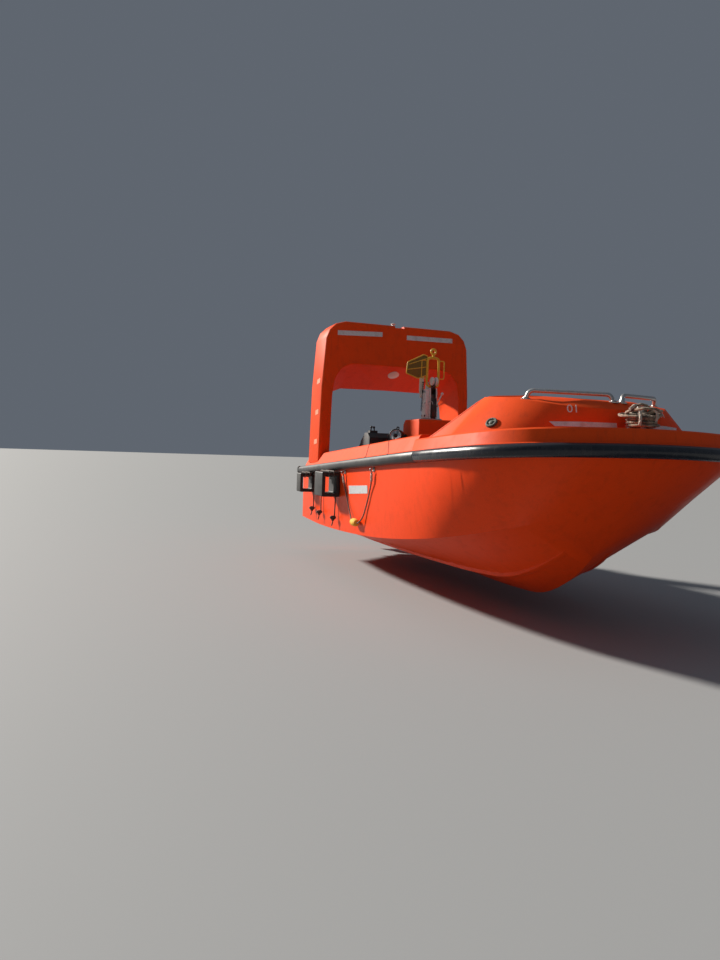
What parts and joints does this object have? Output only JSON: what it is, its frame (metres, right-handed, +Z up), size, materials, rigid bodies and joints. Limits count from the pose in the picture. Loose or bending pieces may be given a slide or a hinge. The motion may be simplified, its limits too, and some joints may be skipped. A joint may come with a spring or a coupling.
{
  "type": "rescue boat",
  "caption": "Rigid open rescue boat with a bow cuddy, stern roll arch, rubber fender, lifting hook on a pedestal, side helm and tilting outboard motor.",
  "frame": {"origin": "on the centreline amidships at the waterline when afloat", "axes": "+X to the bow, +Y to port, +Z up"},
  "size_m": [5.063, 2.0774, 2.4123],
  "materials": {
    "gelcoat_orange": "weathered gloss",
    "fender_rubber": "weathered matte",
    "galvanised_steel": "satin",
    "hook_white": "satin",
    "hook_yellow": "gloss",
    "console_black": "satin",
    "motor_black": "gloss",
    "motor_grey": "satin",
    "lamp_black": "satin",
    "wheel_black": "matte",
    "vent_grey": "weathered",
    "light_white": "gloss",
    "rope_brown": "twisted rope",
    "rope_grey": "twisted rope",
    "float_yellow": "weathered"
  },
  "bodies": {
    "boat": {"hull": "gelcoat_orange", "cockpit_liner": "gelcoat_orange", "motor_well": "gelcoat_orange", "cuddy_floor": "gelcoat_orange", "cuddy": "gelcoat_orange", "coaming_starboard": "gelcoat_orange", "coaming_port": "gelcoat_orange", "bench_starboard": "gelcoat_orange", "bench_port": "gelcoat_orange", "arch": "gelcoat_orange", "hook_pedestal": "gelcoat_orange", "helm_seat": "gelcoat_orange", "fender_starboard": "fender_rubber", "fender_bow": "fender_rubber", "fender_port": "fender_rubber", "fender_stern_starboard": "fender_rubber", "fender_stern_port": "fender_rubber", "hung_fender_1": "fender_rubber", "hung_fender_2": "fender_rubber", "handrail_starboard": "galvanised_steel", "handrail_port": "galvanised_steel", "stern_cleat_starboard": "galvanised_steel", "stern_cleat_port": "galvanised_steel", "bow_bitt": "galvanised_steel", "release_lever": "galvanised_steel", "lifeline_eye_starboard_1": "galvanised_steel", "lifeline_eye_starboard_2": "galvanised_steel", "lifeline_eye_port_1": "galvanised_steel", "lifeline_eye_port_2": "galvanised_steel", "hook_post": "hook_white", "helm_console": "console_black", "searchlight_bracket": "lamp_black", "vent_cap_starboard": "vent_grey", "vent_cap_port": "vent_grey", "arch_light": "light_white", "lifeline_starboard_aft": "rope_grey", "lifeline_starboard_fore": "rope_grey", "lifeline_port_aft": "rope_grey", "lifeline_port_fore": "rope_grey", "rope_tail_1": "rope_grey", "rope_tail_2": "rope_grey", "rope_tail_3": "rope_grey", "bitt_turns": "rope_brown", "line_float_starboard": "float_yellow", "line_float_port": "float_yellow", "motor_clamp": "motor_grey"},
    "motor_swivel": {"motor_swivel": "motor_grey"},
    "motor": {"motor_leg": "motor_grey", "motor_cowl": "motor_black"},
    "propeller": {"propeller": "motor_grey"},
    "steering_wheel": {"steering_wheel": "wheel_black"},
    "release_jaw": {"release_jaw": "galvanised_steel"},
    "lifting_ring": {"lifting_ring": "hook_yellow"},
    "searchlight_yoke": {"searchlight_yoke": "lamp_black"},
    "searchlight_head": {"searchlight_head": "lamp_black"}
  },
  "joints": [
    {"name": "motor_tilt", "type": "hinge", "parent": "boat", "child": "motor_swivel", "pos_m": [-2.31, 0, 0.34], "axis": [0, 1, 0], "range_deg": [0, 65]},
    {"name": "motor_steer", "type": "hinge", "parent": "motor_swivel", "child": "motor", "pos_m": [-2.385, 0, 0.2], "axis": [0, 0, 1], "range_deg": [-35, 35]},
    {"name": "propeller_spin", "type": "hinge", "parent": "motor", "child": "propeller", "pos_m": [-2.687, 0, -0.22], "axis": [1, 0, 0], "continuous": true},
    {"name": "wheel_turn", "type": "hinge", "parent": "boat", "child": "steering_wheel", "pos_m": [-1.414, -0.37, 0.71], "axis": [0.9063, 0, -0.4226], "range_deg": [-450, 450]},
    {"name": "jaw_open", "type": "hinge", "parent": "boat", "child": "release_jaw", "pos_m": [-0.88, 0, 1.273], "axis": [0, 1, 0], "range_deg": [0, 70]},
    {"name": "ring_swing", "type": "hinge", "parent": "boat", "child": "lifting_ring", "pos_m": [-0.84, 0, 1.324], "axis": [0, 1, 0], "range_deg": [-25, 25]},
    {"name": "lamp_pan", "type": "hinge", "parent": "boat", "child": "searchlight_yoke", "pos_m": [-0.88, -0.325, 0.74], "axis": [0, 0, 1], "range_deg": [-130, 170]},
    {"name": "lamp_tilt", "type": "hinge", "parent": "searchlight_yoke", "child": "searchlight_head", "pos_m": [-0.88, -0.325, 0.84], "axis": [0.6428, 0.766, 0], "range_deg": [-45, 45]}
  ],
  "couplings": [
    {"joint": "motor_steer", "follows": "wheel_turn", "ratio": 0.077778}
  ]
}
